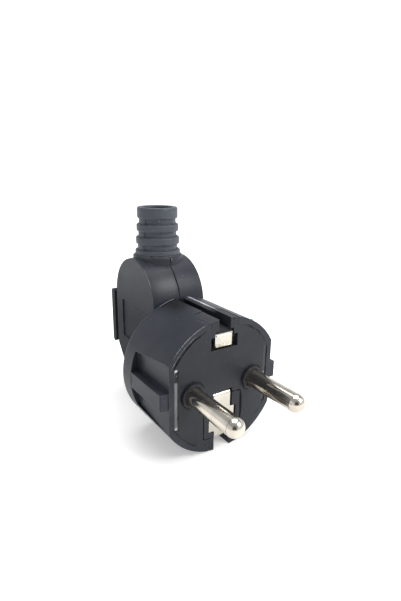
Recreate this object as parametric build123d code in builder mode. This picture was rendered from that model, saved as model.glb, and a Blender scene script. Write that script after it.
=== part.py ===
from build123d import *
import math
import os

os.makedirs("parts", exist_ok=True)

# The plug stands on the underside of its round body, pins level.
# The origin lies in the engagement face, midway between the pins.
# +X is right seen from the front, +Y runs into the plug, +Z is up.

# Pins
pin_pitch = 19.0
pin_diameter = 4.8
pin_reach = 19.0
pin_root_diameter = 5.2
pin_flange_diameter = 6.6
pin_flange_depth = 6.0
pin_flange_thickness = 3.0
pin_barrel_diameter = 5.6
pin_barrel_length = 8.0
wire_hole_diameter = 3.0
wire_hole_depth = 5.5
pin_collar_width = 0.85
pin_collar_height = 0.8
pin_collar_groove = 0.45
pin_collar_groove_depth = 0.3

# Round front body
body_radius = 18.8
body_depth = 21.4
body_rear_rounding = 0.8
foot_rise = 0.3
rim_wall = 1.8
rim_depth = 1.5
flat_inset = 2.5
flat_wall = 1.5
ledge = 1.1
flat_ledge = 1.4
rear_wall = 2.0
rear_rim = 5.4
pocket_height = 7.8
ridge_height = 4.4
ridge_inset = 0.2
ridge_start = 0.3
ridge_chamfer = 0.4
slot_depth = 7.5
slot_half_width = 4.4
groove_half_width = 1.9
seam = 0.12
split_gap = 0.24

# Contact carrier
carrier_plate = 3.0
carrier_core_depth = 9.0
carrier_core_inset = 0.2
carrier_core_half_height = 5.2
carrier_spine_half_width = 7.5
carrier_spine_half_height = 14.4
carrier_lug_start = 4.0
carrier_lug_length = 2.0
carrier_lug_width = 6.0
carrier_lug_height = 0.9
face_wall = 1.3
window_half_width = 4.25
window_bottom = 10.5
window_height = 3.5
clip_slot_half_width = 2.95
foot_slot_half_width = 2.6

# Earth contact
sheet = 0.8
sheet_bend = 0.75
jog_bend = 0.45
jog_height = 0.9
clip_recess = 0.3
web_recess = 1.4
clip_inset = 3.3
clip_half_width = 2.72
foot_half_width = 2.35
clip_leg_end = 15.5
window_head = -1.3
plate_shoulder = -6.9
plate_half_width = 4.1
plate_foot = -13.0
earth_hole_drop = 10.0
earth_hole_radius = 2.6
sleeve_bore_radius = 2.4
sleeve_wall = 0.6
sleeve_length = 11.0
sleeve_slit = 0.7

# Frame around the earth window
frame_half_width = 5.9
frame_top = -2.8
frame_bottom = -14.4
frame_depth = 3.0
frame_floor = 1.8
frame_floor_relief = 1.3
frame_corner = 0.9
frame_gap = 0.3
frame_upper_half = 3.15
frame_step = -6.8
frame_lower_half = 4.5
frame_lower_end = -13.1
frame_socket_wall = 1.0
frame_socket_length = 3.0

# Grey strips in the seam at each side of the face
strip_thickness = 0.9
strip_recess = 0.25
strip_top = 8.1
strip_bottom = -8.6

# Handle
handle_half_width = 8.4
handle_behind_body = 12.8
handle_centre_z = 15.9
handle_radius = 13.0
handle_flat_radius = 12.5
handle_wall = 2.0
web_overlap = 2.4
web_shelf = 0.7
web_shelf_length = 3.0
taper_start_z = -1.2
taper_knee_out = 6.8
taper_knee_z = -9.5
handle_foot_z = -16.4
taper_inward_y = 0.8
taper_inward_z = 0.6
taper_leaves = (-0.7, -0.72)
handle_ceiling = 24.3

# Rear grip plate
grip_gap = 1.6
grip_thickness = 2.2
grip_top = 15.8
grip_bottom = -2.6
grip_rounding = 1.0
grip_neck_half_width = 5.6
grip_neck_inset = 2.4

# Recessed panel on the left flat
panel_reach_front = 10.2
panel_reach_back = 8.4
panel_top = 14.3
panel_bottom = 1.7
panel_depth = 0.4

# Cable boot
boot_bore_radius = 4.45
boot_top = 43.2
boot_top_radius = 5.95
boot_ring_pitch = 3.75
boot_slot_height = 1.5
boot_slot_count = 3
boot_first_slot = 38.4
boot_ring_growth = 0.26
boot_round = 0.5
boot_web_inset = 0.45
boot_slot_inset = 0.8
boot_web_width = 3.6
boot_stub_radius = 5.6
boot_flange_radius = 6.3
boot_flange_thickness = 1.9
collar_radius = 7.45
collar_top = 29.2
collar_root = 26.0
collar_chamfer = 0.25

# Fasteners
housing_screw_radius = 1.4
housing_screw_head_radius = 2.7
housing_screw_head_height = 1.9
housing_screw_head_sink = 0.3
housing_screw_grip = 5.4
housing_screw_spacing = 15.8
housing_screw_rise = 1.8
lower_screw_ahead = 1.6
lower_screw_drop = 23.3
housing_boss_radius = 2.7
housing_entry_wall = 1.2
clamp_screw_radius = 1.2
clamp_screw_head_radius = 2.0
clamp_screw_head_height = 1.3
clamp_screw_length = 8.0
clamp_screw_room = 0.7
terminal_screw_radius = 1.2
terminal_screw_head_radius = 2.0
terminal_screw_head_height = 1.3
terminal_screw_from_end = 2.7
retainer_screw_length = 6.5
screw_slot_width = 0.6
screw_slot_depth = 0.7
screw_head_rounding = 0.35
screw_point = 0.3

# Cable clamp
clamp_z = 9.5
clamp_bar_height = 4.4
clamp_bar_thickness = 2.0
clamp_screw_offset = 6.2
clamp_post_radius = 2.1
saddle_half_length = 3.4
saddle_height = 4.0
saddle_thickness = 3.2

# Retainer plate behind the carrier
retainer_thickness = 1.8
retainer_inset = 0.4
retainer_half_height = 4.8
retainer_tab_half_width = 7.3
retainer_tab_top = 11.4
retainer_screw_x = 5.3
retainer_screw_z = 8.6

# Clearances
sliding_fit = 0.1
thread_fit = 0.05

# Derived places
foot_z = foot_rise - body_radius
flat_x = body_radius - flat_inset
opening_radius = body_radius - rim_wall
opening_flat = flat_x - flat_wall
cavity_radius = opening_radius - ledge
cavity_flat = opening_flat - flat_ledge
cavity_end = body_depth - rear_wall
carrier_radius = opening_radius - seam
carrier_flat = opening_flat - seam
carrier_core_half_width = cavity_flat - carrier_core_inset
carrier_lug_reach = cavity_flat + carrier_lug_height
tower_radius = body_radius - seam
tower_half_width = slot_half_width - seam
pocket_back = body_depth - rear_rim
ridge_root = flat_x - flat_wall / 2
ridge_reach = body_radius - ridge_inset
window_top = window_bottom + window_height
clip_height = body_radius - clip_inset
pin_x = pin_pitch / 2
sleeve_radius = sleeve_bore_radius + sleeve_wall
frame_socket_radius = sleeve_radius + sliding_fit + frame_socket_wall
retainer_half_width = cavity_flat - retainer_inset
retainer_start = pin_flange_depth + pin_flange_thickness + sliding_fit
pin_end = retainer_start + pin_barrel_length
terminal_screw_y = pin_end - terminal_screw_from_end
handle_centre_y = body_depth + handle_behind_body
handle_back = handle_centre_y + handle_radius
web_front = body_depth - web_overlap
inner_half_width = handle_half_width - handle_wall
inner_radius = handle_flat_radius - handle_wall
taper_knee_y = handle_centre_y + taper_knee_out
grip_front = handle_back + grip_gap
panel_front = handle_centre_y - panel_reach_front
panel_back = handle_centre_y + panel_reach_back
boot_axis = (0, handle_centre_y)
boot_flange_top = handle_ceiling - sliding_fit
boot_flange_bottom = boot_flange_top - boot_flange_thickness
handle_axis = Axis((0, handle_centre_y, handle_centre_z), (1, 0, 0))
housing_screw_head_x = handle_half_width - housing_screw_head_height - housing_screw_head_sink
clamp_bar_end = inner_half_width - clamp_screw_head_height - clamp_screw_room
clamp_bar_x = clamp_bar_end - clamp_bar_thickness
saddle_x = saddle_thickness - inner_half_width
housing_screw_z = handle_centre_z + housing_screw_rise
housing_screw_places = {
    "front": (handle_centre_y - housing_screw_spacing / 2, housing_screw_z),
    "rear": (handle_centre_y + housing_screw_spacing / 2, housing_screw_z),
    "lower": (handle_centre_y - lower_screw_ahead, handle_centre_z - lower_screw_drop),
}


def front_plane(depth):
    """The plane of the face moved back by a depth: its x is +X and its y is +Z."""
    return Plane.XZ.offset(-depth)


def drum_outline(radius, half_width, depth, start=0.0):
    """A round slab with two flat sides, from start back by depth."""
    with BuildPart() as slab:
        with BuildSketch(front_plane(start)):
            Circle(radius)
            Rectangle(2 * half_width, 2 * radius, mode=Mode.INTERSECT)
        extrude(amount=-depth)
    return slab.part


def slot_block(half_width, low, high, start, depth):
    """A rectangular block between two heights, from start back by depth."""
    with BuildPart() as block:
        with BuildSketch(front_plane(start)):
            with Locations((0, (low + high) / 2)):
                Rectangle(2 * half_width, high - low)
        extrude(amount=-depth)
    return block.part


def slotted_screw(length, radius, head_radius, head_height):
    """A pan head screw: its head stands on +Z from the origin and its shank goes down."""
    with BuildPart() as screw:
        with BuildSketch():
            Circle(head_radius)
        extrude(amount=head_height)
        fillet(screw.edges().sort_by(Axis.Z)[-1], screw_head_rounding * head_height)
        with BuildSketch():
            Circle(radius)
        extrude(amount=-length)
        chamfer(screw.edges().sort_by(Axis.Z)[0], screw_point * radius)
        with BuildSketch(Plane.XY.offset(head_height)):
            Rectangle(2 * head_radius, screw_slot_width)
        extrude(amount=-screw_slot_depth, mode=Mode.SUBTRACT)
    return screw.part


def place(part, origin, direction, across=(0, 0, 1)):
    """A part moved so that its own +Z points along direction from origin."""
    return Plane(origin=origin, x_dir=across, z_dir=direction).location * part


def handle_side(inset):
    """The handle below its drum, seen from the side, moved in from its skin by inset."""
    back = handle_back - inset
    knee = (taper_knee_y - taper_inward_y * inset, taper_knee_z + taper_inward_z * inset)
    with BuildSketch(Plane.YZ) as side:
        with BuildLine():
            Polyline(
                (web_front, handle_foot_z + inset),
                (web_front, handle_centre_z),
                (back, handle_centre_z),
                (back, taper_start_z),
                knee,
            )
            TangentArc(
                knee,
                (web_front, handle_foot_z + inset),
                tangent=taper_leaves,
            )
        make_face()
    return side.sketch


def housing_blank():
    """Both halves of the housing as one solid, before it is split down the middle."""
    with BuildPart() as blank:
        # The round body, with flats at the sides of its front rim
        with BuildSketch(front_plane(rim_depth)):
            Circle(body_radius)
        extrude(amount=rim_depth - body_depth)
        fillet(blank.edges().sort_by(Axis.Y)[-1], body_rear_rounding)
        add(drum_outline(body_radius, flat_x, rim_depth))

        # A flat sunk in each side, and the gripping ridge that divides it
        flat_height = math.sqrt(body_radius**2 - flat_x**2)
        ridge_skin = math.sqrt(body_radius**2 - ridge_height**2 / 4)
        for side in (-1, 1):
            with BuildSketch(Plane.YZ.offset(side * flat_x)):
                with BuildLine():
                    Polyline(
                        (rim_depth, flat_height),
                        (pocket_back, pocket_height),
                        (pocket_back, -pocket_height),
                        (rim_depth, -flat_height),
                        close=True,
                    )
                make_face()
            extrude(amount=side * body_radius, mode=Mode.SUBTRACT)
            with BuildSketch(Plane.XY.offset(-ridge_height / 2)):
                with BuildLine():
                    Polyline(
                        (side * ridge_root, ridge_start),
                        (side * (ridge_reach - ridge_chamfer), ridge_start),
                        (side * ridge_reach, ridge_start + ridge_chamfer),
                        (side * ridge_skin, pocket_back),
                        (side * ridge_root, pocket_back + ridge_chamfer),
                        close=True,
                    )
                make_face()
            extrude(amount=ridge_height)

        # The flat that the plug stands on
        foot = slot_block(body_radius, -2 * body_radius, foot_z, 0, body_depth)
        add(foot, mode=Mode.SUBTRACT)

        # The crowned drum of the handle
        with BuildSketch(Plane.XY.offset(handle_centre_z)):
            with BuildLine():
                flat_y = handle_centre_y - handle_flat_radius
                ThreePointArc(
                    (-handle_half_width, flat_y),
                    (0, handle_centre_y - handle_radius),
                    (handle_half_width, flat_y),
                )
                Polyline(
                    (handle_half_width, flat_y),
                    (handle_half_width, handle_centre_y),
                    (-handle_half_width, handle_centre_y),
                    (-handle_half_width, flat_y),
                )
            make_face()
        revolve(axis=handle_axis, revolution_arc=360)

        # The stem below the drum, with the same crown at its back
        with BuildPart(mode=Mode.PRIVATE) as stem:
            with BuildSketch(Plane.XY.offset(handle_centre_z)):
                with BuildLine():
                    back_y = handle_centre_y + handle_flat_radius
                    ThreePointArc(
                        (-handle_half_width, back_y),
                        (0, handle_centre_y + handle_radius),
                        (handle_half_width, back_y),
                    )
                    Polyline(
                        (handle_half_width, back_y),
                        (handle_half_width, web_front),
                        (-handle_half_width, web_front),
                        (-handle_half_width, back_y),
                    )
                make_face()
            extrude(amount=-2 * handle_centre_z)
            extrude(handle_side(0), amount=handle_half_width, both=True, mode=Mode.INTERSECT)
            shelf = slot_block(
                handle_half_width,
                handle_centre_z - web_shelf,
                handle_centre_z,
                web_front,
                web_shelf_length,
            )
            add(shelf, mode=Mode.SUBTRACT)
        add(stem.part)

        # The collar around the cable boot
        with BuildSketch(Plane.XY.offset(collar_root)):
            with Locations(boot_axis):
                Circle(collar_radius)
        extrude(amount=collar_top - collar_root)
        chamfer(blank.edges().sort_by(Axis.Z)[-1], collar_chamfer)

        # The grip plate on its neck at the back
        with BuildSketch(Plane.YZ):
            with Locations((grip_front + grip_thickness / 2, (grip_top + grip_bottom) / 2)):
                RectangleRounded(grip_thickness, grip_top - grip_bottom, grip_rounding)
        extrude(amount=handle_half_width, both=True)
        neck_start = handle_back - handle_wall
        neck = slot_block(
            grip_neck_half_width,
            grip_bottom + grip_neck_inset,
            grip_top - grip_neck_inset,
            neck_start,
            grip_front - neck_start + grip_thickness / 2,
        )
        add(neck)

        # The room for the contact carrier
        opening = drum_outline(opening_radius, opening_flat, carrier_plate)
        add(opening, mode=Mode.SUBTRACT)
        room = drum_outline(cavity_radius, cavity_flat, cavity_end - carrier_plate, carrier_plate)
        add(room, mode=Mode.SUBTRACT)
        slot = slot_block(slot_half_width, -2 * body_radius, 2 * body_radius, 0, slot_depth)
        add(slot, mode=Mode.SUBTRACT)
        groove = slot_block(
            groove_half_width, -body_radius, body_radius, slot_depth, cavity_end - slot_depth
        )
        add(groove, mode=Mode.SUBTRACT)
        notch = slot_block(
            groove_half_width, cavity_radius - rear_wall, body_radius, cavity_end, rear_wall
        )
        add(notch, mode=Mode.SUBTRACT)
        with BuildSketch(front_plane(carrier_lug_start - sliding_fit)):
            Rectangle(2 * (carrier_lug_reach + sliding_fit), carrier_lug_width + 2 * sliding_fit)
        extrude(amount=-(carrier_lug_length + 2 * sliding_fit), mode=Mode.SUBTRACT)

        # The room for the cable, and the seat of the boot in its roof
        extrude(
            handle_side(handle_wall), amount=inner_half_width, both=True, mode=Mode.SUBTRACT
        )
        with BuildSketch(Plane.YZ):
            with Locations((handle_centre_y, handle_centre_z)):
                Circle(inner_radius)
            with Locations((handle_centre_y, handle_ceiling + body_radius)):
                Rectangle(4 * body_radius, 2 * body_radius, mode=Mode.SUBTRACT)
        extrude(amount=inner_half_width, both=True, mode=Mode.SUBTRACT)
        with BuildSketch(Plane.XY.offset(boot_flange_bottom - sliding_fit)):
            with Locations(boot_axis):
                Circle(boot_flange_radius + sliding_fit)
        extrude(amount=handle_ceiling - boot_flange_bottom + sliding_fit, mode=Mode.SUBTRACT)
        with BuildSketch(Plane.XY.offset(handle_ceiling)):
            with Locations(boot_axis):
                Circle(boot_stub_radius + sliding_fit)
        extrude(amount=collar_top - handle_ceiling, mode=Mode.SUBTRACT)
    return blank.part


def across_rod(x_start, x_end, places, radius):
    """Rods along X at (y, z) places, as one part to add or to cut."""
    with BuildPart() as rods:
        with BuildSketch(Plane.YZ.offset(x_start)):
            with Locations(*places):
                Circle(radius)
        extrude(amount=x_end - x_start)
    return rods.part


blank = housing_blank()
screw_places = list(housing_screw_places.values())
clamp_places = [
    (handle_centre_y - clamp_screw_offset, clamp_z),
    (handle_centre_y + clamp_screw_offset, clamp_z),
]

# Left half of the housing, with the bosses that the screws bite into
with BuildPart() as housing_left:
    add(blank)
    split(bisect_by=Plane.YZ.offset(-split_gap / 2), keep=Keep.BOTTOM)
    add(across_rod(-inner_half_width, -split_gap / 2, screw_places, housing_boss_radius))
    bore = across_rod(
        -housing_screw_grip - sliding_fit,
        0,
        screw_places,
        housing_screw_radius + thread_fit,
    )
    add(bore, mode=Mode.SUBTRACT)
    add(across_rod(-inner_half_width, clamp_bar_x, clamp_places, clamp_post_radius))
    with BuildSketch(Plane.YZ.offset(-inner_half_width)):
        with Locations((handle_centre_y, clamp_z)):
            Rectangle(2 * saddle_half_length, saddle_height)
    extrude(amount=inner_half_width + saddle_x)
    with BuildSketch(Plane.XY.offset(clamp_z - saddle_height)):
        with Locations(boot_axis):
            Circle(boot_bore_radius)
    extrude(amount=2 * saddle_height, mode=Mode.SUBTRACT)
    clamp_bore = across_rod(
        clamp_bar_end - clamp_screw_length - sliding_fit,
        clamp_bar_end,
        clamp_places,
        clamp_screw_radius + thread_fit,
    )
    add(clamp_bore, mode=Mode.SUBTRACT)
    with BuildSketch(Plane.YZ.offset(-handle_half_width)):
        with Locations(((panel_front + panel_back) / 2, (panel_top + panel_bottom) / 2)):
            RectangleRounded(panel_back - panel_front, panel_top - panel_bottom, 2 * panel_depth)
    extrude(amount=panel_depth, mode=Mode.SUBTRACT)
housing_left.part.label = "housing_left"
export_step(housing_left.part, "parts/housing_left.step")

# Right half of the housing, with the counterbored holes for the screws
with BuildPart() as housing_right:
    add(blank)
    split(bisect_by=Plane.YZ.offset(split_gap / 2), keep=Keep.TOP)
    entry_radius = housing_screw_head_radius + sliding_fit + housing_entry_wall
    add(across_rod(split_gap / 2, inner_half_width, screw_places, entry_radius))
    hole = across_rod(0, handle_half_width, screw_places, housing_screw_radius + sliding_fit)
    add(hole, mode=Mode.SUBTRACT)
    recess = across_rod(
        housing_screw_head_x,
        handle_half_width,
        screw_places,
        housing_screw_head_radius + sliding_fit,
    )
    add(recess, mode=Mode.SUBTRACT)
housing_right.part.label = "housing_right"
export_step(housing_right.part, "parts/housing_right.step")

# Contact carrier: the face of the plug and everything that locates the pins
with BuildPart() as contact_carrier:
    add(drum_outline(carrier_radius, carrier_flat, carrier_plate))
    with BuildSketch(front_plane(carrier_plate)):
        Rectangle(2 * carrier_core_half_width, 2 * carrier_core_half_height)
        Rectangle(2 * carrier_spine_half_width, 2 * carrier_spine_half_height)
        Circle(cavity_radius - sliding_fit, mode=Mode.INTERSECT)
    extrude(amount=carrier_plate - carrier_core_depth)
    with BuildSketch(front_plane(carrier_lug_start)):
        Rectangle(2 * carrier_lug_reach, carrier_lug_width)
    extrude(amount=-carrier_lug_length)

    # Towers that fill the slots of the housing above and below the face
    with BuildSketch(Plane.XZ):
        Circle(tower_radius)
        Rectangle(2 * tower_half_width, 2 * tower_radius, mode=Mode.INTERSECT)
        with Locations((0, foot_z - tower_radius)):
            Rectangle(2 * tower_radius, 2 * tower_radius, mode=Mode.SUBTRACT)
    extrude(amount=seam - slot_depth)

    # Collars around the pins, each in a shallow ring groove
    with BuildSketch(Plane.XZ):
        with GridLocations(pin_pitch, 0, 2, 1):
            Circle(pin_diameter / 2 + pin_collar_width + pin_collar_groove)
    extrude(amount=-pin_collar_groove_depth, mode=Mode.SUBTRACT)
    with BuildSketch(front_plane(pin_collar_groove_depth)):
        with GridLocations(pin_pitch, 0, 2, 1):
            Circle(pin_diameter / 2 + pin_collar_width)
    extrude(amount=pin_collar_groove_depth + pin_collar_height)
    with BuildSketch(front_plane(carrier_core_depth)):
        with GridLocations(pin_pitch, 0, 2, 1):
            Circle(pin_root_diameter / 2 + thread_fit)
    extrude(amount=carrier_core_depth + pin_collar_height, mode=Mode.SUBTRACT)
    with BuildSketch(front_plane(pin_flange_depth)):
        with GridLocations(pin_pitch, 0, 2, 1):
            Circle(pin_flange_diameter / 2 + sliding_fit)
    extrude(amount=pin_flange_depth - carrier_core_depth, mode=Mode.SUBTRACT)

    # The window and the groove of the upper earth clip
    window = slot_block(window_half_width, window_bottom, window_top, 0, face_wall)
    add(window, mode=Mode.SUBTRACT)
    clip_slot = slot_block(
        clip_slot_half_width,
        window_bottom,
        clip_height + sliding_fit,
        0,
        carrier_core_depth,
    )
    add(clip_slot, mode=Mode.SUBTRACT)
    top_groove = slot_block(
        groove_half_width, window_top, body_radius, 0, carrier_core_depth
    )
    add(top_groove, mode=Mode.SUBTRACT)

    # The channel behind the face for the web of the earth strip
    web_channel = slot_block(
        clip_slot_half_width,
        plate_shoulder,
        window_bottom,
        face_wall,
        carrier_core_depth - face_wall,
    )
    add(web_channel, mode=Mode.SUBTRACT)

    # The lower window, the seat of its frame, and the foot slot
    head = slot_block(frame_upper_half, frame_top - frame_gap, window_head, 0, face_wall)
    add(head, mode=Mode.SUBTRACT)
    with BuildSketch(Plane.XZ):
        with Locations((0, (frame_top + frame_bottom) / 2)):
            RectangleRounded(
                2 * (frame_half_width + frame_gap),
                frame_top - frame_bottom + 2 * frame_gap,
                frame_corner + frame_gap,
            )
    extrude(amount=-frame_depth, mode=Mode.SUBTRACT)
    with BuildSketch(front_plane(frame_depth)):
        with Locations((0, -earth_hole_drop)):
            Circle(frame_socket_radius + sliding_fit)
    extrude(amount=frame_depth - carrier_core_depth, mode=Mode.SUBTRACT)
    foot_slot = slot_block(
        foot_slot_half_width, -body_radius, frame_bottom + sheet, 0, carrier_core_depth
    )
    add(foot_slot, mode=Mode.SUBTRACT)

    # Notches for the grey strips, and threaded holes for the retainer
    for side in (-1, 1):
        with BuildSketch(Plane.XZ):
            with Locations((side * (carrier_flat - strip_thickness / 2), 0)):
                with Locations((0, (strip_top + strip_bottom) / 2)):
                    Rectangle(
                        strip_thickness + 2 * sliding_fit,
                        strip_top - strip_bottom + 2 * sliding_fit,
                    )
        extrude(amount=-carrier_plate, mode=Mode.SUBTRACT)
        with BuildSketch(front_plane(carrier_core_depth)):
            with Locations((side * retainer_screw_x, retainer_screw_z)):
                Circle(terminal_screw_radius + thread_fit)
        extrude(amount=retainer_screw_length - retainer_thickness, mode=Mode.SUBTRACT)
contact_carrier.part.label = "contact_carrier"
export_step(contact_carrier.part, "parts/contact_carrier.step")

# Frame around the earth window, with a floor behind the earth plate
with BuildPart() as earth_window_frame:
    with BuildSketch(Plane.XZ):
        with Locations((0, (frame_top + frame_bottom) / 2)):
            RectangleRounded(2 * frame_half_width, frame_top - frame_bottom, frame_corner)
    extrude(amount=-frame_depth)
    window_depth = frame_depth - frame_floor
    upper = slot_block(frame_upper_half, frame_step, frame_top, 0, window_depth)
    add(upper, mode=Mode.SUBTRACT)
    lower = slot_block(frame_lower_half, frame_lower_end, frame_step, 0, window_depth)
    add(lower, mode=Mode.SUBTRACT)
    outlet = slot_block(foot_slot_half_width, frame_bottom, frame_lower_end, 0, frame_depth)
    add(outlet, mode=Mode.SUBTRACT)
    relief = slot_block(
        frame_upper_half, frame_top - frame_floor_relief, frame_top, window_depth, frame_floor
    )
    add(relief, mode=Mode.SUBTRACT)
    with BuildSketch(front_plane(frame_depth)):
        with Locations((0, -earth_hole_drop)):
            Circle(frame_socket_radius)
    extrude(amount=-frame_socket_length)
    with BuildSketch(front_plane(frame_depth)):
        with Locations((0, -earth_hole_drop)):
            Circle(sleeve_radius + sliding_fit)
    extrude(amount=-frame_socket_length, mode=Mode.SUBTRACT)
    with BuildSketch(front_plane(frame_depth)):
        with Locations((0, -earth_hole_drop)):
            Circle(earth_hole_radius)
    extrude(amount=frame_depth, mode=Mode.SUBTRACT)
earth_window_frame.part.label = "earth_window_frame"
export_step(earth_window_frame.part, "parts/earth_window_frame.step")

# Earth strip: one folded sheet from the upper clip down to the foot
with BuildPart() as earth_strip:
    top_z = clip_height - sheet / 2
    clip_y = clip_recess + sheet / 2
    web_y = web_recess + sheet / 2
    with BuildSketch(Plane.YZ):
        with BuildLine():
            FilletPolyline(
                (clip_leg_end, top_z),
                (clip_y, top_z),
                (clip_y, window_bottom + jog_height + jog_bend),
                (web_y, window_bottom + jog_bend),
                (web_y, window_head - jog_bend),
                (clip_y, window_head - jog_bend - jog_height),
                (clip_y, -top_z),
                (clip_leg_end, -top_z),
                radius=(sheet_bend, jog_bend, jog_bend, jog_bend, jog_bend, sheet_bend),
            )
        trace(line_width=sheet)
    extrude(amount=body_radius, both=True)
    with BuildSketch(Plane.XZ):
        with Locations((0, plate_foot - body_radius)):
            Rectangle(2 * foot_half_width, 2 * body_radius)
        with Locations((0, (plate_shoulder + plate_foot) / 2)):
            Rectangle(2 * plate_half_width, plate_shoulder - plate_foot)
        with Locations((0, plate_shoulder + body_radius)):
            Rectangle(2 * clip_half_width, 2 * body_radius)
    extrude(amount=-body_depth, mode=Mode.INTERSECT)
    with BuildSketch(Plane.XZ):
        with Locations((0, -earth_hole_drop)):
            Circle(earth_hole_radius)
    extrude(amount=-frame_depth, mode=Mode.SUBTRACT)
    with BuildSketch(Plane.XY.offset(clip_height)):
        with Locations((0, clip_leg_end - terminal_screw_head_radius - sheet)):
            Circle(terminal_screw_radius + sliding_fit)
    extrude(amount=-2 * sheet, mode=Mode.SUBTRACT)
earth_strip.part.label = "earth_strip"
export_step(earth_strip.part, "parts/earth_strip.step")

# Sprung sleeve that takes the earth pin of a socket
with BuildPart() as earth_sleeve:
    with BuildSketch(front_plane(frame_depth)):
        with Locations((0, -earth_hole_drop)):
            Circle(sleeve_radius)
            Circle(sleeve_bore_radius, mode=Mode.SUBTRACT)
    extrude(amount=-sleeve_length)
    with BuildSketch(front_plane(frame_depth + sleeve_length)):
        with Locations((0, -earth_hole_drop)):
            Rectangle(4 * sleeve_bore_radius, sleeve_slit)
    extrude(amount=sleeve_length - frame_socket_length, mode=Mode.SUBTRACT)
earth_sleeve.part.label = "earth_sleeve"
export_step(earth_sleeve.part, "parts/earth_sleeve.step")

# Earth terminal: a washer and a screw under the end of the upper clip
earth_screw_y = clip_leg_end - terminal_screw_head_radius - sheet
with BuildPart() as earth_washer:
    with BuildSketch(Plane.XY.offset(clip_height - sheet)):
        with Locations((0, earth_screw_y)):
            Circle(terminal_screw_head_radius + sheet / 2)
            Circle(terminal_screw_radius + sliding_fit, mode=Mode.SUBTRACT)
    extrude(amount=-sheet)
earth_washer.part.label = "earth_washer"
export_step(earth_washer.part, "parts/earth_washer.step")

terminal_screw = slotted_screw(
    2 * sheet, terminal_screw_radius, terminal_screw_head_radius, terminal_screw_head_height
)
with BuildPart() as earth_screw:
    add(place(terminal_screw, (0, earth_screw_y, clip_height - 2 * sheet), (0, 0, -1), (1, 0, 0)))
earth_screw.part.label = "earth_screw"
export_step(earth_screw.part, "parts/earth_screw.step")

# Pins, terminal screws, strips and retainer screws come in mirrored pairs
for name, side in (("left", -1), ("right", 1)):
    x = side * pin_x
    with BuildPart() as pin:
        with BuildSketch(front_plane(-pin_reach)):
            with Locations((x, 0)):
                Circle(pin_diameter / 2)
        extrude(amount=-(pin_reach + pin_flange_depth + pin_flange_thickness))
        tip = pin.edges().sort_by(Axis.Y)[0]
        fillet(tip, pin_diameter / 2 - thread_fit)
        with BuildSketch(front_plane(-pin_collar_height)):
            with Locations((x, 0)):
                Circle(pin_root_diameter / 2)
        extrude(amount=-pin_collar_height - pin_flange_depth)
        with BuildSketch(front_plane(pin_flange_depth)):
            with Locations((x, 0)):
                Circle(pin_flange_diameter / 2)
        extrude(amount=-pin_flange_thickness)
        with BuildSketch(front_plane(pin_flange_depth + pin_flange_thickness)):
            with Locations((x, 0)):
                Circle(pin_barrel_diameter / 2)
        extrude(amount=pin_flange_depth + pin_flange_thickness - pin_end)
        with BuildSketch(front_plane(pin_end)):
            with Locations((x, 0)):
                Circle(wire_hole_diameter / 2)
        extrude(amount=wire_hole_depth, mode=Mode.SUBTRACT)
        with BuildSketch(Plane.XY):
            with Locations((x, terminal_screw_y)):
                Circle(terminal_screw_radius + thread_fit)
        extrude(amount=pin_barrel_diameter, mode=Mode.SUBTRACT)
    pin.part.label = f"pin_{name}"
    export_step(pin.part, f"parts/pin_{name}.step")

    barrel_screw = slotted_screw(
        pin_barrel_diameter / 2,
        terminal_screw_radius,
        terminal_screw_head_radius,
        terminal_screw_head_height,
    )
    with BuildPart() as terminal_screw_part:
        seat = (x, terminal_screw_y, pin_barrel_diameter / 2 + thread_fit)
        add(place(barrel_screw, seat, (0, 0, 1), (1, 0, 0)))
    terminal_screw_part.part.label = f"terminal_screw_{name}"
    export_step(terminal_screw_part.part, f"parts/terminal_screw_{name}.step")

    with BuildPart() as side_strip:
        with BuildSketch(front_plane(strip_recess)):
            with Locations((side * (carrier_flat - strip_thickness / 2), 0)):
                with Locations((0, (strip_top + strip_bottom) / 2)):
                    Rectangle(strip_thickness, strip_top - strip_bottom)
            Circle(carrier_radius, mode=Mode.INTERSECT)
        extrude(amount=strip_recess + thread_fit - carrier_plate)
    side_strip.part.label = f"side_strip_{name}"
    export_step(side_strip.part, f"parts/side_strip_{name}.step")

    plate_screw = slotted_screw(
        retainer_screw_length,
        terminal_screw_radius,
        terminal_screw_head_radius,
        terminal_screw_head_height,
    )
    with BuildPart() as retainer_screw:
        seat = (side * retainer_screw_x, retainer_start + retainer_thickness, retainer_screw_z)
        add(place(plate_screw, seat, (0, 1, 0)))
    retainer_screw.part.label = f"retainer_screw_{name}"
    export_step(retainer_screw.part, f"parts/retainer_screw_{name}.step")

# Retainer plate that traps the flanges of the pins in the carrier
with BuildPart() as pin_retainer:
    with BuildSketch(front_plane(retainer_start)):
        Rectangle(2 * retainer_half_width, 2 * retainer_half_height)
        with Locations((0, retainer_tab_top / 2)):
            Rectangle(2 * retainer_tab_half_width, retainer_tab_top)
        with GridLocations(pin_pitch, 0, 2, 1):
            Circle(pin_barrel_diameter / 2 + sliding_fit, mode=Mode.SUBTRACT)
        with Locations((0, retainer_screw_z)):
            with GridLocations(2 * retainer_screw_x, 0, 2, 1):
                Circle(terminal_screw_radius + sliding_fit, mode=Mode.SUBTRACT)
    extrude(amount=-retainer_thickness)
pin_retainer.part.label = "pin_retainer"
export_step(pin_retainer.part, "parts/pin_retainer.step")

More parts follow.
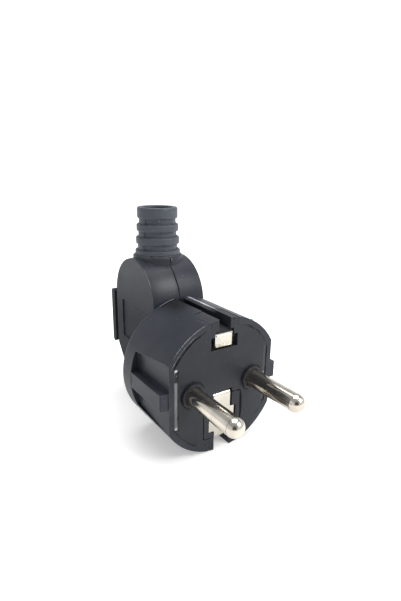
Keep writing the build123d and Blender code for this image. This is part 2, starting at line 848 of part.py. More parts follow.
# Cable boot: rings on a sleeve, with slots between them and webs at the sides
ring_tops = [boot_top]
ring_feet = []
for slot in range(boot_slot_count):
    ring_feet.append(boot_first_slot + boot_slot_height - slot * boot_ring_pitch)
    ring_tops.append(boot_first_slot - slot * boot_ring_pitch)
ring_feet.append(collar_top + sliding_fit)
with BuildPart() as cable_boot:
    with BuildSketch(Plane.XZ.offset(-handle_centre_y)):
        radius = boot_top_radius
        for foot, top in zip(ring_feet, ring_tops):
            with Locations(((boot_bore_radius + radius) / 2, (foot + top) / 2)):
                RectangleRounded(radius - boot_bore_radius, top - foot, boot_round)
            radius += boot_ring_growth
        web_radius = boot_top_radius - boot_web_inset
        for foot, top in zip(ring_feet, ring_tops[1:]):
            with Locations(((boot_bore_radius + web_radius) / 2, (foot + top) / 2)):
                Rectangle(web_radius - boot_bore_radius, foot - top + 2 * boot_round)
            web_radius += boot_ring_growth
        stub_top = collar_top + sliding_fit + boot_round
        middle = (boot_bore_radius + boot_stub_radius) / 2
        with Locations((middle, (boot_flange_bottom + stub_top) / 2)):
            Rectangle(boot_stub_radius - boot_bore_radius, stub_top - boot_flange_bottom)
        middle = (boot_bore_radius + boot_flange_radius) / 2
        with Locations((middle, (boot_flange_bottom + boot_flange_top) / 2)):
            Rectangle(boot_flange_radius - boot_bore_radius, boot_flange_thickness)
    revolve(axis=Axis((0, handle_centre_y, 0), (0, 0, 1)))
    slot_floor = boot_top_radius - boot_slot_inset
    for top in ring_tops[1:]:
        with BuildSketch(Plane.XY.offset(top)):
            with Locations(boot_axis):
                Circle(2 * boot_flange_radius)
                Circle(slot_floor, mode=Mode.SUBTRACT)
                Rectangle(4 * boot_flange_radius, boot_web_width, mode=Mode.SUBTRACT)
        extrude(amount=boot_slot_height, mode=Mode.SUBTRACT)
        slot_floor += boot_ring_growth
cable_boot.part.label = "cable_boot"
export_step(cable_boot.part, "parts/cable_boot.step")

# Cable clamp bar with its two screws
with BuildPart() as cable_clamp_bar:
    with BuildSketch(Plane.YZ.offset(clamp_bar_x)):
        with Locations((handle_centre_y, clamp_z)):
            SlotCenterToCenter(2 * clamp_screw_offset, clamp_bar_height)
    extrude(amount=clamp_bar_thickness)
    with BuildSketch(Plane.YZ.offset(clamp_bar_x)):
        with Locations(*clamp_places):
            Circle(clamp_screw_radius + sliding_fit)
    extrude(amount=clamp_bar_thickness, mode=Mode.SUBTRACT)
cable_clamp_bar.part.label = "cable_clamp_bar"
export_step(cable_clamp_bar.part, "parts/cable_clamp_bar.step")

bar_screw = slotted_screw(
    clamp_screw_length, clamp_screw_radius, clamp_screw_head_radius, clamp_screw_head_height
)
for name, where in zip(("front", "rear"), clamp_places):
    with BuildPart() as clamp_screw:
        add(place(bar_screw, (clamp_bar_end, *where), (1, 0, 0)))
    clamp_screw.part.label = f"clamp_screw_{name}"
    export_step(clamp_screw.part, f"parts/clamp_screw_{name}.step")

# Screws that hold the two halves of the housing together
case_screw = slotted_screw(
    housing_screw_head_x + housing_screw_grip,
    housing_screw_radius,
    housing_screw_head_radius,
    housing_screw_head_height,
)
for name, where in housing_screw_places.items():
    with BuildPart() as housing_screw:
        add(place(case_screw, (housing_screw_head_x, *where), (1, 0, 0)))
    housing_screw.part.label = f"housing_screw_{name}"
    export_step(housing_screw.part, f"parts/housing_screw_{name}.step")
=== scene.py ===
import math
import random
from collections import namedtuple

import bpy
from mathutils import Matrix, Vector


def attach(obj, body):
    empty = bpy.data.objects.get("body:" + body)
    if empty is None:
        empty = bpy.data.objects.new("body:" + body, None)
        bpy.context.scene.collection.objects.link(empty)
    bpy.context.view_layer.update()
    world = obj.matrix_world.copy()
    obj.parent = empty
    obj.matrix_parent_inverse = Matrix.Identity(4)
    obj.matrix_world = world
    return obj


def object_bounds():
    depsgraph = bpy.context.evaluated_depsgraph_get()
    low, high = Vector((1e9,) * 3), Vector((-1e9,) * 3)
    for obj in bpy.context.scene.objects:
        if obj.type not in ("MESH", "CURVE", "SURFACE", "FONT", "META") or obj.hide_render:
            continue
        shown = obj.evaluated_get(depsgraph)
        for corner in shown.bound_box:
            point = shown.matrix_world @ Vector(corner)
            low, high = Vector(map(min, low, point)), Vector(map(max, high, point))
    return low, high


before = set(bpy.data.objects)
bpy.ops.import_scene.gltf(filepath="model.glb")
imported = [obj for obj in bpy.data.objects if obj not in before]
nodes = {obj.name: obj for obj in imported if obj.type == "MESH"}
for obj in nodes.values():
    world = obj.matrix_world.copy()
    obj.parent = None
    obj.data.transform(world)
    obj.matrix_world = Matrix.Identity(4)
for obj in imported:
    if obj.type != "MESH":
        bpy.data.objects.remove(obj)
cad_low, cad_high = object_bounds()
MM = 0.001


# Places on the plug, in mm

body_radius = cad_high.x / MM
worn_radius = body_radius - 0.01
rim_edge_radius = body_radius - 0.06
burr_radius = body_radius - 0.08
flash_high_radius = 17.8
flash_low_radius = 17.76
seam_radius = 17.2
before_face = -0.012
handle_y = 34.2
handle_z = 15.9
handle_edge_x = -8.34
drum_seam_radius = 13.02
drum_edge_radius = 12.5
boot_skirt_radius = 6.78
boot_skirt_height = 29.3
boot_ring_crests = ((38.2, 6.08), (34.48, 6.33), (30.72, 6.62))
pin_x = 9.5
pin_dome_y = -16.62
pin_line_radius = 2.38


# Node helpers

def node_tools(tree):
    """A helper that adds a node with its input values and options, and one that links."""

    def add(kind, values=None, **options):
        node = tree.nodes.new(kind)
        for key, value in options.items():
            setattr(node, key, value)
        for key, value in (values or {}).items():
            node.inputs[key].default_value = value
        return node

    def link(source, target):
        tree.links.new(source, target)

    return add, link


def new_material(name):
    """A material with its Principled shader and its node tools."""
    material = bpy.data.materials.new(name)
    material.use_nodes = True
    tree = material.node_tree
    return (material, tree.nodes["Principled BSDF"], *node_tools(tree))


def feed(link, socket, source):
    """Give a socket a number, a colour or another node's output."""
    if isinstance(source, bpy.types.NodeSocket):
        link(source, socket)
    elif isinstance(source, tuple):
        socket.default_value = (*source, 1.0)
    else:
        socket.default_value = source


def noise(add, link, place, scale, detail=3.0, roughness=0.5, stretch=None):
    """A noise texture's value; scale is in features per metre."""
    if stretch:
        mapping = add("ShaderNodeMapping", {"Scale": stretch})
        link(place, mapping.inputs["Vector"])
        place = mapping.outputs["Vector"]
    values = {"Scale": scale, "Detail": detail, "Roughness": roughness}
    texture = add("ShaderNodeTexNoise", values)
    link(place, texture.inputs["Vector"])
    return texture.outputs["Fac"]


def ramp(add, link, value, stops):
    """A colour ramp with (position, grey or colour) stops."""
    node = add("ShaderNodeValToRGB")
    elements = node.color_ramp.elements
    while len(elements) < len(stops):
        elements.new(0.5)
    for element, (position, tone) in zip(elements, stops):
        colour = tone if isinstance(tone, tuple) else (tone,) * 3
        element.position = position
        element.color = (*colour, 1.0)
    link(value, node.inputs["Fac"])
    return node.outputs["Color"]


def remap(add, link, value, source=(0.0, 1.0), target=(0.0, 1.0), curve="LINEAR"):
    """Map one range of a value to another, held at both ends."""
    limits = {
        "From Min": source[0],
        "From Max": source[1],
        "To Min": target[0],
        "To Max": target[1],
    }
    node = add("ShaderNodeMapRange", limits, interpolation_type=curve)
    link(value, node.inputs["Value"])
    return node.outputs["Result"]


# A mix node's sockets for its first source, its second source and its result
MIX_SOCKETS = {"FLOAT": (2, 3, 0), "RGBA": (6, 7, 2)}


def mix(add, link, kind, factor, first, second):
    """Blend two numbers or two colours by a factor."""
    node = add("ShaderNodeMix", data_type=kind)
    first_socket, second_socket, result = MIX_SOCKETS[kind]
    feed(link, node.inputs[first_socket], first)
    feed(link, node.inputs[second_socket], second)
    link(factor, node.inputs[0])
    return node.outputs[result]


def combine(add, link, operation, first, second):
    """A math node on two values."""
    node = add("ShaderNodeMath", operation=operation)
    feed(link, node.inputs[0], first)
    feed(link, node.inputs[1], second)
    return node.outputs["Value"]


def rounded_normal(add, radius):
    """The normal that the surface would have with its edges rounded to the radius."""
    return add("ShaderNodeBevel", {"Radius": radius}, samples=6).outputs["Normal"]


def edge_mask(add, link, rounded, sharpness):
    """White along edges, where the rounded normal leaves the true one."""
    geometry = add("ShaderNodeNewGeometry")
    dot = add("ShaderNodeVectorMath", operation="DOT_PRODUCT")
    link(rounded, dot.inputs[0])
    link(geometry.outputs["Normal"], dot.inputs[1])
    return remap(add, link, dot.outputs["Value"], source=(1.0, 1.0 - sharpness))


def zone_mask(add, link, place, slopes):
    """The product of slopes, each 0 to 1 as a coordinate in mm goes from start to end."""
    axes = add("ShaderNodeSeparateXYZ")
    link(place, axes.inputs["Vector"])
    total = None
    for axis, start, end in slopes:
        value = remap(add, link, axes.outputs[axis], source=(start * MM, end * MM))
        total = value if total is None else combine(add, link, "MULTIPLY", total, value)
    return total


def add_bump(add, link, shader, height, rounded, strength, distance):
    """Relief from a height, on top of the rounded normal."""
    bump = add("ShaderNodeBump", {"Strength": strength, "Distance": distance})
    link(height, bump.inputs["Height"])
    link(rounded, bump.inputs["Normal"])
    link(bump.outputs["Normal"], shader.inputs["Normal"])


# Materials

def plastic(
    name, base, light, rough, grain=0.25, edge=0.16 * MM, wear=0.6, wear_tone=0.2, gloss=0.22,
    zones=(),
):
    """Moulded plastic: mottled tone, fine grain, dust, scratches and rubbed, rounded edges."""
    material, shader, add, link = new_material(name)
    place = add("ShaderNodeTexCoord").outputs["Object"]
    cloud = noise(add, link, place, 140.0, detail=5.0, roughness=0.6)
    fine = noise(add, link, place, 2600.0, detail=2.0)
    specks = noise(add, link, place, 1300.0, detail=1.0)
    scuff = noise(add, link, place, 420.0, detail=6.0, roughness=0.7, stretch=(1.0, 0.35, 1.0))
    scratch = noise(add, link, place, 700.0, detail=2.0, stretch=(0.12, 1.0, 1.6))

    tone = ramp(add, link, cloud, [(0.3, base), (0.75, light)])
    roughness = remap(add, link, scuff, target=(rough - 0.08, rough + 0.12))
    # Zones paint their own tone over the mottling, among them painted highlights and painted shade
    for zone in zones:
        inside = zone_mask(add, link, place, zone.slopes)
        tone = mix(add, link, "RGBA", inside, tone, zone.tone)
        roughness = mix(add, link, "FLOAT", inside, roughness, zone.rough)
    dust = ramp(add, link, specks, [(0.72, 0.0), (0.78, 0.6)])
    tone = mix(add, link, "RGBA", dust, tone, tuple(3.2 * c for c in light))
    hair = ramp(add, link, scratch, [(0.72, 0.0), (0.76, 0.3), (0.8, 0.0)])
    tone = mix(add, link, "RGBA", hair, tone, tuple(2.4 * c for c in light))
    rounded = rounded_normal(add, edge)
    mask = edge_mask(add, link, rounded, 0.12)
    broken = ramp(add, link, scuff, [(0.42, 0.0), (0.62, wear)])
    rubbed = combine(add, link, "MULTIPLY", mask, broken)
    tone = mix(add, link, "RGBA", rubbed, tone, (wear_tone, wear_tone, 1.04 * wear_tone))
    link(tone, shader.inputs["Base Color"])
    link(roughness, shader.inputs["Roughness"])

    height = combine(add, link, "ADD", fine, combine(add, link, "MULTIPLY", cloud, 1.5))
    add_bump(add, link, shader, height, rounded, grain, 0.03 * MM)
    shader.inputs["Specular IOR Level"].default_value = gloss
    return material


def metal(name, base, shade, rough, painted_shade_zone=None):
    """Plated metal: faint tone changes, fine brushed lines, and painted shade over a zone on
    request.
    """
    material, shader, add, link = new_material(name)
    place = add("ShaderNodeTexCoord").outputs["Object"]
    cloud = noise(add, link, place, 260.0, detail=4.0)
    lines = noise(add, link, place, 1800.0, stretch=(1.0, 0.08, 1.0))
    tone = ramp(add, link, cloud, [(0.35, shade), (0.65, base)])
    roughness = remap(add, link, lines, target=(0.7 * rough, 1.4 * rough))
    shader.inputs["Metallic"].default_value = 1.0
    if painted_shade_zone:
        # Painted shade: dark, dull and not metallic inside the zone
        inside = zone_mask(add, link, place, painted_shade_zone)
        tone = mix(add, link, "RGBA", inside, tone, (0.012, 0.012, 0.014))
        link(combine(add, link, "SUBTRACT", 1.0, inside), shader.inputs["Metallic"])
        roughness = combine(add, link, "MAXIMUM", roughness, inside)
    link(tone, shader.inputs["Base Color"])
    link(roughness, shader.inputs["Roughness"])
    rounded = rounded_normal(add, 0.1 * MM)
    add_bump(add, link, shader, lines, rounded, 0.12, 0.01 * MM)
    return material


# Zones of another tone and roughness, among them painted highlights and painted shade; a slope is
# (axis, 0 at this place, 1 at that place)

Zone = namedtuple("Zone", "slopes tone rough")
above_groove = ("Z", 17.6, 17.9)
short_of_drum = ("Y", 21.45, 21.4)
left_side = ("X", -12.0, -13.0)

# The polished lip of the right half beside the groove, painted lighter as a highlight
lip_painted_highlight = Zone(
    [("X", 1.75, 1.85), ("X", 2.85, 2.7), above_groove, ("Y", 6.0, 12.0), short_of_drum],
    tone=(0.36, 0.37, 0.39),
    rough=0.16,
)
# The dark line along the foot of that lip
lip_shadow = Zone(
    [("X", 2.7, 2.8), ("X", 3.2, 3.1), above_groove, short_of_drum],
    tone=(0.004, 0.004, 0.005),
    rough=0.6,
)
# The smoother crown of the handle's drum, with a painted highlight on it
drum_painted_glint = Zone(
    [("X", -7.5, -4.5), ("X", 0.0, -1.5), ("Z", 18.0, 21.0), ("Z", 27.0, 24.0),
     ("Y", 21.4, 21.6), ("Y", 27.5, 26.0)],
    tone=(0.036, 0.038, 0.041),
    rough=0.36,
)
# The handle's left flat, darker towards its lower end
flat_shade = Zone(
    [("X", -6.6, -7.6), ("Y", 21.5, 21.9), ("Z", 25.0, 9.0)],
    tone=(0.014, 0.0165, 0.0215),
    rough=0.72,
)
# Painted shade in the hollow on the body in front of the handle
hollow_painted_shade = Zone(
    [("X", 2.2, 1.4), ("X", -8.0, -5.0), ("Z", 16.0, 17.2), ("Y", 10.0, 15.0),
     ("Y", 21.2, 20.8)],
    tone=(0.004, 0.0045, 0.006),
    rough=0.5,
)
# The left strip's dark notch, its pale ends above and below, and painted shade over the duller
# right strip
notch = Zone([left_side, ("Z", 4.5, 4.7), ("Z", 7.6, 7.4)], tone=(0.02, 0.02, 0.022), rough=0.5)
strip_top = Zone([left_side, ("Z", 7.3, 7.5)], tone=(0.5, 0.51, 0.51), rough=0.35)
strip_foot = Zone([left_side, ("Z", -7.6, -7.9)], tone=(0.42, 0.43, 0.43), rough=0.35)
right_strip_painted_shade = Zone([("X", 12.0, 13.0)], tone=(0.05, 0.052, 0.055), rough=0.5)


# Materials of the CAD pieces

housing_plastic = plastic(
    "housing_plastic", base=(0.0165, 0.019, 0.0255), light=(0.024, 0.0278, 0.0365), rough=0.4,
    edge=0.17 * MM, zones=(lip_painted_highlight, lip_shadow, hollow_painted_shade, drum_painted_glint, flat_shade),
)
carrier_plastic = plastic(
    "carrier_plastic", base=(0.0165, 0.0178, 0.022), light=(0.0235, 0.0252, 0.031), rough=0.46,
    grain=0.2, zones=(lip_painted_highlight, lip_shadow),
)
boot_rubber = plastic(
    "boot_rubber", base=(0.044, 0.0505, 0.061), light=(0.058, 0.0655, 0.079), rough=0.48,
    grain=0.3, wear=0.9, gloss=0.3,
)
strip_plastic = plastic(
    "strip_plastic", base=(0.11, 0.114, 0.112), light=(0.2, 0.207, 0.2), rough=0.4,
    wear=0.9, wear_tone=0.4, zones=(notch, strip_top, strip_foot, right_strip_painted_shade),
)
nickel = metal(
    "nickel", base=(0.64, 0.595, 0.515), shade=(0.52, 0.48, 0.415), rough=0.16,
    # Painted shade on each pin's root, where it sits in the face
    painted_shade_zone=[("Y", -0.95, -0.85)],
)
earth_metal = metal(
    "earth_metal", base=(0.57, 0.545, 0.485), shade=(0.48, 0.455, 0.4), rough=0.24,
    # Painted shade on the top of the earth contacts, inside the groove
    painted_shade_zone=[("Z", 14.45, 14.75)],
)
screw_steel = metal(
    "screw_steel", base=(0.55, 0.55, 0.56), shade=(0.42, 0.42, 0.44), rough=0.3
)

dressed = {
    housing_plastic: ("housing_left", "housing_right"),
    carrier_plastic: (
        "contact_carrier",
        "earth_window_frame",
        "pin_retainer",
        "cable_clamp_bar",
    ),
    boot_rubber: ("cable_boot",),
    strip_plastic: ("side_strip_left", "side_strip_right"),
    nickel: ("pin_left", "pin_right"),
    earth_metal: ("earth_strip", "earth_sleeve", "earth_washer"),
    screw_steel: (
        "earth_screw",
        "terminal_screw_left",
        "terminal_screw_right",
        "retainer_screw_left",
        "retainer_screw_right",
        "clamp_screw_front",
        "clamp_screw_rear",
        "housing_screw_front",
        "housing_screw_rear",
        "housing_screw_lower",
    ),
}
for material, names in dressed.items():
    for name in names:
        slots = nodes[name].data.materials
        slots.clear()
        slots.append(material)


# Materials of the wear, the flash and the gaps, and of the painted highlights and painted shadow

# Dark for the open seams and slots, and for a painted shadow on the body in front of the handle
gap_dark_and_painted_shadow = plastic(
    "gap_dark_and_painted_shadow", base=(0.002, 0.002, 0.0025), light=(0.004, 0.004, 0.005), rough=0.7,
    wear=0.0, gloss=0.1,
)
# Pale plastic for rubbed edges, flash and a burr, and for painted highlights along edges of the
# body and the handle
rubbed_plastic_and_painted_highlight = plastic(
    "rubbed_plastic_and_painted_highlight", base=(0.1, 0.105, 0.112), light=(0.2, 0.207, 0.215), rough=0.35,
    wear_tone=0.4,
)
# Pale rubber for painted highlights along the rubbed crests of the boot's rings
rubbed_rubber_and_painted_highlight = plastic(
    "rubbed_rubber_and_painted_highlight", base=(0.07, 0.076, 0.085), light=(0.12, 0.128, 0.14), rough=0.4
)
ring_metal = metal("ring_metal", base=(0.2, 0.19, 0.17), shade=(0.12, 0.115, 0.1), rough=0.3)


# Mesh helpers; every path and size is in mm

def make_piece(name, vertices, faces, material, smooth=True):
    """A mesh object, its vertices in metres, that rides on the plug."""
    mesh = bpy.data.meshes.new(name)
    mesh.from_pydata(vertices, [], faces)
    mesh.update()
    for polygon in mesh.polygons:
        polygon.use_smooth = smooth
    mesh.materials.append(material)
    piece = bpy.data.objects.new(name, mesh)
    bpy.context.scene.collection.objects.link(piece)
    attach(piece, "root")
    return piece


def strand(name, path, thickness, material, ragged, seed):
    """A bead along a path; its radius varies by the ragged share and fades at both ends."""
    rng = random.Random(seed)
    sides = 6
    vertices = []
    faces = []
    count = len(path)
    for index, point in enumerate(path):
        before = Vector(path[max(index - 1, 0)])
        after = Vector(path[min(index + 1, count - 1)])
        along = (after - before).normalized()
        out = along.orthogonal().normalized()
        side = along.cross(out)
        taper = min(1.0, 4.0 * index / count, 4.0 * (count - 1 - index) / count)
        radius = thickness * max(0.02, taper) * (1.0 - ragged * rng.random())
        for step in range(sides):
            angle = 2 * math.pi * step / sides
            spoke = radius * (math.cos(angle) * out + math.sin(angle) * side)
            vertices.append((Vector(point) + spoke) * MM)
        if index:
            first = (index - 1) * sides
            for step in range(sides):
                follow = (step + 1) % sides
                faces.append(
                    (first + step, first + follow, first + sides + follow, first + sides + step)
                )
    faces.append(tuple(range(sides)))
    faces.append(tuple(reversed(range((count - 1) * sides, count * sides))))
    return make_piece(name, vertices, faces, material)


def ribbon(name, inner, outer, material):
    """A flat ribbon between two lines of points."""
    vertices = []
    faces = []
    for index, (near, far) in enumerate(zip(inner, outer)):
        vertices += [Vector(near) * MM, Vector(far) * MM]
        if index:
            first = 2 * (index - 1)
            faces.append((first, first + 1, first + 3, first + 2))
    return make_piece(name, vertices, faces, material, smooth=False)


def turn(start, end, count):
    """Evenly spaced angles in radians, from start to end in degrees."""
    return [math.radians(start + (end - start) * index / (count - 1)) for index in range(count)]


def axis_point(radius, angle, depth):
    """A point about the plug's axis; the angle goes from +X towards +Z."""
    return (radius * math.cos(angle), depth, radius * math.sin(angle))


def drum_point(radius, angle, x):
    """A point about the handle's axis; the angle goes from the front towards the top."""
    return (x, handle_y - radius * math.cos(angle), handle_z + radius * math.sin(angle))


def boot_circle(radius, height, angles):
    """Points about the boot's axis."""
    return [(radius * math.cos(a), handle_y + radius * math.sin(a), height) for a in angles]


def ragged_widths(count, widest, seed):
    """Widths that wander between a sliver and the widest, and close at both ends."""
    rng = random.Random(seed)
    width = widest / 2
    widths = []
    for index in range(count):
        width = min(widest, max(0.15 * widest, width + widest * (rng.random() - 0.5) * 0.5))
        taper = min(1.0, 6.0 * (index + 0.2) / count, 6.0 * (count - index) / count)
        widths.append(width * taper)
    return widths


# The rim around the face: open seams, flash and wear

def rim_gap(name, radius, start, end, widest, seed):
    """A dark seam of uneven width between the rim and the face."""
    count = 70
    inner = []
    outer = []
    for angle, width in zip(turn(start, end, count), ragged_widths(count, widest, seed)):
        inner.append(axis_point(radius - 0.35 * width, angle, before_face))
        outer.append(axis_point(radius + 0.65 * width, angle, before_face))
    return ribbon(name, inner, outer, gap_dark_and_painted_shadow)


def rim_arc(radius, start, end, depth, count, wobble, seed):
    """Points on an arc about the plug's axis whose radius wobbles."""
    rng = random.Random(seed)
    return [
        axis_point(radius + wobble * (rng.random() - 0.5), angle, depth)
        for angle in turn(start, end, count)
    ]


rim_gap("rim_gap_left", seam_radius - 0.12, 109, 153, widest=0.55, seed=3)
rim_gap("rim_gap_right", seam_radius, 66, 36, widest=0.3, seed=5)
rim_gap("rim_gap_low", seam_radius, 208, 246, widest=0.24, seed=8)

flash_high = rim_arc(flash_high_radius, 118, 138, depth=0.0, count=60, wobble=0.1, seed=1)
flash_low = rim_arc(flash_low_radius, 136, 154, depth=0.0, count=60, wobble=0.14, seed=2)
edge_line = rim_arc(rim_edge_radius, 102, 149, depth=0.05, count=90, wobble=0.04, seed=3)
strand("rim_flash_high", flash_high, 0.11, rubbed_plastic_and_painted_highlight, ragged=0.7, seed=11)
strand("rim_flash_low", flash_low, 0.11, rubbed_plastic_and_painted_highlight, ragged=0.8, seed=12)
strand("rim_edge_wear", edge_line, 0.13, rubbed_plastic_and_painted_highlight, ragged=0.5, seed=13)


# The top of the body: the worn arch before the handle with a painted highlight on it and a painted
# shadow in front of it, a burr, and a painted highlight on the tower's edge

def rear_arch():
    """The arch on the body where the handle rises; it runs further back towards the middle."""
    widest = 117
    points = []
    for degrees in range(widest, 94, -1):
        depth = 20.1 + 0.04 * (widest - degrees)
        points.append(axis_point(worn_radius, math.radians(degrees), depth))
    return points


def tower_edge():
    """The side of the upper tower where it meets the body, from the back to the face."""
    points = []
    for step in range(14):
        x = -5.9 + 0.05 * step
        points.append((x, 4.8 - 0.36 * step, math.sqrt(worn_radius ** 2 - x ** 2)))
    return points


arch = rear_arch()
arch_shadow = [(x, y - 0.75, z) for x, y, z in arch[3:]]
burr_line = rim_arc(burr_radius, 63.5, 60.0, depth=0.15, count=9, wobble=0.1, seed=5)
# A painted highlight along the worn rear edge of the body
strand("rear_edge_wear_and_painted_highlight", arch, 0.13, rubbed_plastic_and_painted_highlight, ragged=0.5, seed=14)
# A painted shadow in front of that edge
strand("rear_edge_painted_shadow", arch_shadow, 0.16, gap_dark_and_painted_shadow, ragged=0.5, seed=18)
strand("burr", burr_line, 0.3, rubbed_plastic_and_painted_highlight, ragged=0.5, seed=15)
# A painted highlight along the tower's edge
strand("tower_edge_painted_highlight", tower_edge(), 0.08, rubbed_plastic_and_painted_highlight, ragged=0.7, seed=19)


# The handle: a painted highlight along its edge, the seam of its two halves, and a bead on the
# seam painted light as a highlight

def drum_seam():
    """The wavy line where the two halves of the handle meet, from collar to body."""
    rng = random.Random(21)
    points = []
    for step, angle in enumerate(turn(54, 14, 60)):
        wave = 0.1 * math.sin(0.17 * step) + 0.05 * (rng.random() - 0.5)
        points.append(drum_point(drum_seam_radius, angle, wave))
    return points


drum_edge = [drum_point(drum_edge_radius, angle, handle_edge_x) for angle in turn(64, 24, 40)]
bead_line = [(0.3, 26.72, 29.1), (0.36, 26.7, 28.8), (0.42, 26.68, 28.5), (0.4, 26.7, 28.2)]
# A painted highlight along the left edge of the drum
strand("drum_edge_painted_highlight", drum_edge, 0.09, rubbed_plastic_and_painted_highlight, ragged=0.7, seed=20)
strand("handle_seam", drum_seam(), 0.16, gap_dark_and_painted_shadow, ragged=0.4, seed=16)
# A light bead where the seam meets the collar, a painted highlight
strand("seam_bead_painted_highlight", bead_line, 0.3, rubbed_plastic_and_painted_highlight, ragged=0.3, seed=17)


# The boot: the soft edge pressed onto the collar, and painted highlights along the rubbed crests
# of its rings

skirt = boot_circle(boot_skirt_radius, boot_skirt_height, turn(0, 360, 97))
strand("boot_skirt_bead", skirt, 0.24, boot_rubber, ragged=0.12, seed=34)
for ring, (height, radius) in enumerate(boot_ring_crests):
    crest = boot_circle(radius, height, turn(205, 330, 70))
    # A painted highlight along the rubbed crest of each ring
    strand(f"boot_crest_wear_and_painted_highlight_{ring}", crest, 0.08, rubbed_rubber_and_painted_highlight, ragged=0.75, seed=40 + ring)


# The pins: a fine turning line where each shank meets its domed end

for side, centre_x, seed in (("left", -pin_x, 31), ("right", pin_x, 32)):
    line = []
    for angle in turn(0, 360, 49):
        x, y, z = axis_point(pin_line_radius, angle, pin_dome_y)
        line.append((centre_x + x, y, z))
    strand(f"turning_line_{side}", line, 0.07, ring_metal, ragged=0.3, seed=seed)


# The earth contacts: the slot beside the lower frame, and the upper clip's bent cheek

def frame_slot():
    """The open slot between the frame of the earth window and the face."""
    inner = []
    outer = []
    for index, width in enumerate(ragged_widths(24, 0.7, 33)):
        x = 5.9 + 0.012 * index
        z = -3.0 - 0.34 * index
        inner.append((x - 0.1 - 0.2 * width, before_face, z))
        outer.append((x + 0.1 + 0.6 * width, before_face, z))
    return ribbon("frame_slot", inner, outer, gap_dark_and_painted_shadow)


def bent_sheet(name, corners, bulge, thickness, material):
    """A four cornered sheet that swells outwards a little between its edges."""
    across = 10
    down = 8
    top_left, top_right, low_right, low_left = [Vector(c) for c in corners]
    vertices = []
    faces = []
    for layer in (0.0, thickness):
        for row in range(down + 1):
            v = row / down
            for column in range(across + 1):
                u = column / across
                top = (1 - u) * top_left + u * top_right
                low = (1 - u) * low_left + u * low_right
                point = (1 - v) * top + v * low
                swell = bulge * (1 - (2 * v - 1) ** 4) * (1 - (2 * u - 1) ** 6)
                point.y += layer - swell
                vertices.append(point * MM)
    wide = across + 1
    layer_size = wide * (down + 1)
    for row in range(down):
        for column in range(across):
            first = row * wide + column
            faces.append((first, first + 1, first + wide + 1, first + wide))
            back = first + layer_size
            faces.append((back, back + wide, back + wide + 1, back + 1))
    edge = list(range(wide))
    edge += [row * wide + across for row in range(1, down + 1)]
    edge += [down * wide + column for column in range(across - 1, -1, -1)]
    edge += [row * wide for row in range(down - 1, 0, -1)]
    for index, here in enumerate(edge):
        follow = edge[(index + 1) % len(edge)]
        faces.append((follow, here, here + layer_size, follow + layer_size))
    return make_piece(name, vertices, faces, material)


cheek_corners = [(-2.55, 0.28, 14.35), (2.85, 0.28, 14.2), (2.85, 0.36, 10.6), (-2.5, 0.36, 10.85)]
frame_slot()
bent_sheet("clip_cheek", cheek_corners, bulge=0.14, thickness=0.12, material=earth_metal)


# Stage, light and camera, in metres

def floor():
    """A plain pale floor at the underside of the plug, which glows more further away; its weaker
    glow near the plug paints a soft shadow around it.
    """
    mesh = bpy.data.meshes.new("floor")
    half = 6.0
    z = cad_low.z
    corners = [(-half, -half, z), (half, -half, z), (half, half, z), (-half, half, z)]
    mesh.from_pydata(corners, [], [(0, 1, 2, 3)])
    plane = bpy.data.objects.new("floor", mesh)
    bpy.context.scene.collection.objects.link(plane)
    material, shader, add, link = new_material("floor_white")
    shader.inputs["Base Color"].default_value = (0.82, 0.8, 0.78, 1.0)
    shader.inputs["Roughness"].default_value = 0.9
    shader.inputs["Specular IOR Level"].default_value = 0.0
    shader.inputs["Emission Color"].default_value = (1.0, 1.0, 1.0, 1.0)
    reach = add("ShaderNodeVectorMath", operation="LENGTH")
    link(add("ShaderNodeTexCoord").outputs["Object"], reach.inputs[0])
    # The glow is weaker near the plug, which paints a soft shadow around it
    glow_and_painted_shadow = remap(add, link, reach.outputs["Value"], source=(0.12, 0.9), target=(0.33, 0.55))
    link(glow_and_painted_shadow, shader.inputs["Emission Strength"])
    mesh.materials.append(material)


def area_light(name, place, size, power):
    """A square soft box that looks at the middle of the plug."""
    light = bpy.data.lights.new(name, "AREA")
    light.shape = "SQUARE"
    light.size = size
    light.energy = power
    lamp = bpy.data.objects.new(name, light)
    bpy.context.scene.collection.objects.link(lamp)
    lamp.location = place
    middle = Vector((0.0, 0.01, 0.0))
    direction = middle - Vector(place)
    lamp.rotation_euler = direction.to_track_quat("-Z", "Y").to_euler()


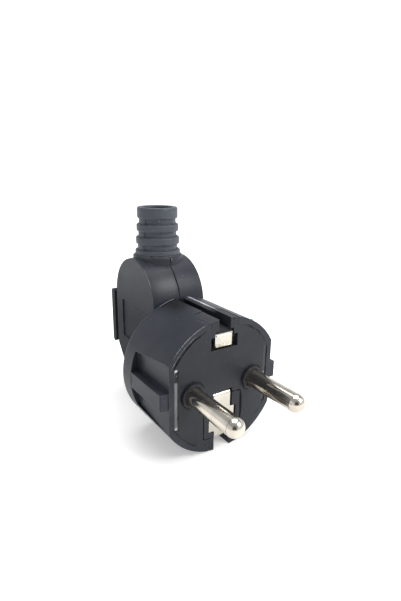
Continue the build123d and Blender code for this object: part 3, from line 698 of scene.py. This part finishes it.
def studio_world():
    """A bright room, dimmer overhead, with a dark patch where the viewer stands."""
    world = bpy.data.worlds.new("studio")
    bpy.context.scene.world = world
    world.use_nodes = True
    background = world.node_tree.nodes["Background"]
    add, link = node_tools(world.node_tree)
    direction = add("ShaderNodeTexCoord").outputs["Generated"]
    axes = add("ShaderNodeSeparateXYZ")
    link(direction, axes.inputs["Vector"])
    sky = remap(add, link, axes.outputs["Z"], (0.36, 0.6), (1.04, 0.55), "SMOOTHSTEP")
    facing = add("ShaderNodeVectorMath", operation="DOT_PRODUCT")
    link(direction, facing.inputs[0])
    toward_viewer = (-0.54, -0.79, 0.29)
    facing.inputs[1].default_value = toward_viewer
    patch = remap(add, link, facing.outputs["Value"], (0.84, 0.95), (1.0, 0.12), "SMOOTHSTEP")
    link(combine(add, link, "MULTIPLY", sky, patch), background.inputs["Strength"])
    background.inputs["Color"].default_value = (0.965, 0.993, 1.035, 1.0)


def place_camera():
    """The camera as it was fitted to the photo, in place, three angles and focal length."""
    place = Vector((-63.59, -81.29, 54.69)) * MM
    yaw = math.radians(34.56)
    pitch = math.radians(17.02)
    roll = math.radians(0.88)
    forward = Vector(
        (
            math.sin(yaw) * math.cos(pitch),
            math.cos(yaw) * math.cos(pitch),
            -math.sin(pitch),
        )
    )
    level_right = Vector((math.cos(yaw), -math.sin(yaw), 0.0))
    level_up = level_right.cross(forward)
    right = math.cos(roll) * level_right + math.sin(roll) * level_up
    up = -math.sin(roll) * level_right + math.cos(roll) * level_up
    lens = bpy.data.cameras.new("camera")
    lens.sensor_width = 36.0
    lens.lens = 26.26
    lens.clip_start = 0.005
    camera = bpy.data.objects.new("camera", lens)
    bpy.context.scene.collection.objects.link(camera)
    rotation = Matrix((right, up, -forward)).transposed()
    camera.matrix_world = Matrix.Translation(place) @ rotation.to_4x4()
    bpy.context.scene.camera = camera


floor()
area_light("key", (0.3, -0.4, 0.42), size=0.3, power=2.9)
area_light("top", (0.08, 0.1, 0.6), size=0.5, power=3.6)
studio_world()
place_camera()
bpy.context.scene.view_settings.view_transform = "Standard"
